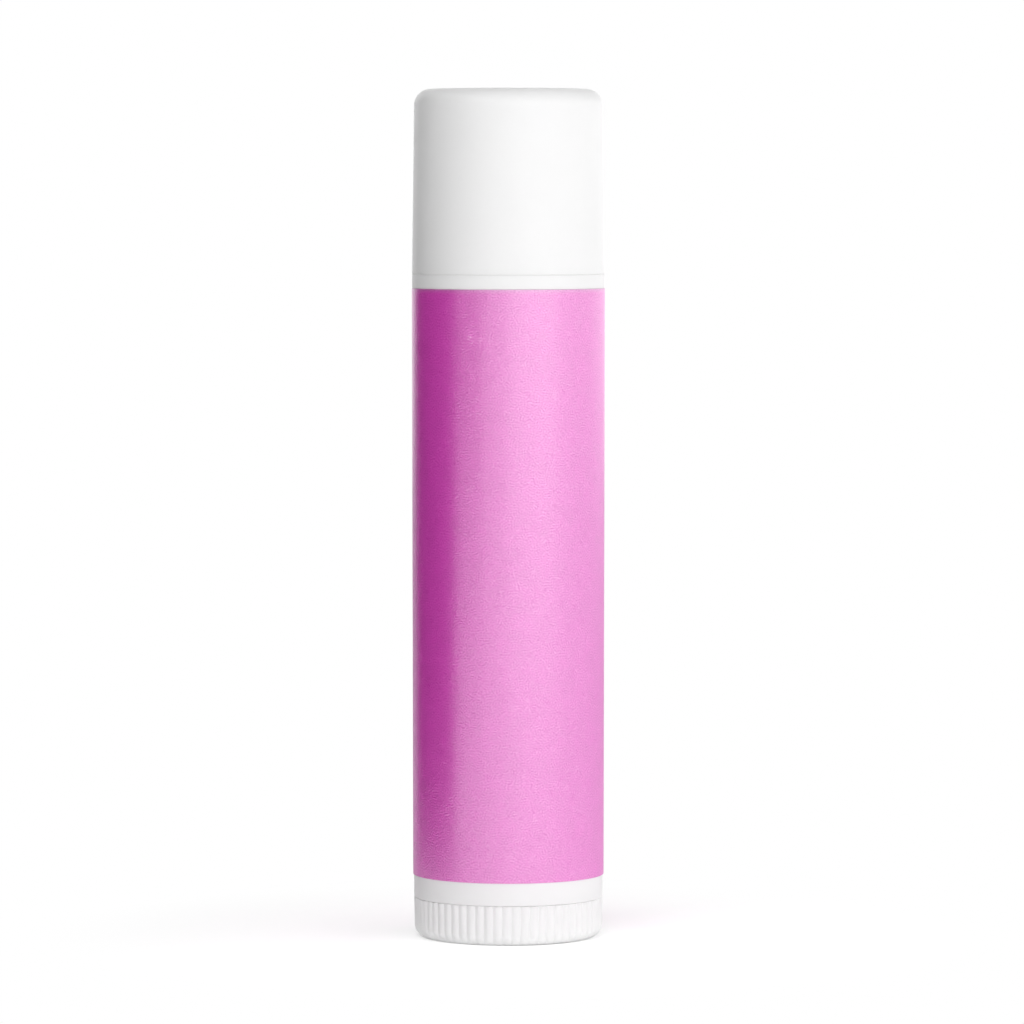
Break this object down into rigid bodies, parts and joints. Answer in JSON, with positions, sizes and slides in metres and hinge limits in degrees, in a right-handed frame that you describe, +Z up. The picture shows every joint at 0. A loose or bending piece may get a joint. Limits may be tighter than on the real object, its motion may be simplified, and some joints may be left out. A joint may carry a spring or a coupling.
{
  "type": "lip balm stick",
  "caption": "Upright twist-up lip balm stick: push-on cap, barrel with a plain wrap label, ribbed dial on a threaded spindle, and an elevator that carries the balm.",
  "frame": {"origin": "middle of the foot, on the surface that the stick stands on", "axes": "+Z up along the stick towards the cap; -Y is the front, and the label's lap is at the back, on +Y"},
  "size_m": [0.016, 0.016, 0.07],
  "materials": {
    "white_polypropylene": "satin moulded, opaque white",
    "natural_polypropylene": "satin moulded, milky",
    "label_film": "satin printed film, fine mottled grain",
    "balm_wax": "waxy, soft sheen"
  },
  "bodies": {
    "tube": {"barrel": "white_polypropylene", "label": "label_film"},
    "dial": {"dial": "white_polypropylene"},
    "carriage": {"elevator": "natural_polypropylene", "balm": "balm_wax"},
    "cap": {"cap": "white_polypropylene"}
  },
  "joints": [
    {"name": "dial_turn", "type": "hinge", "parent": "tube", "child": "dial", "pos_m": [0, 0, 0.004], "axis": [0, 0, 1], "range_deg": [0, 3240]},
    {"name": "balm_lift", "type": "slide", "parent": "tube", "child": "carriage", "axis": [0, 0, 1], "range_m": [0, 0.045]},
    {"name": "cap_pull", "type": "slide", "parent": "carriage", "child": "cap", "axis": [0, 0, 1], "range_m": [0, 0.03]}
  ],
  "couplings": [
    {"joint": "dial_turn", "follows": "balm_lift", "rad_per_m": 1256.6}
  ]
}
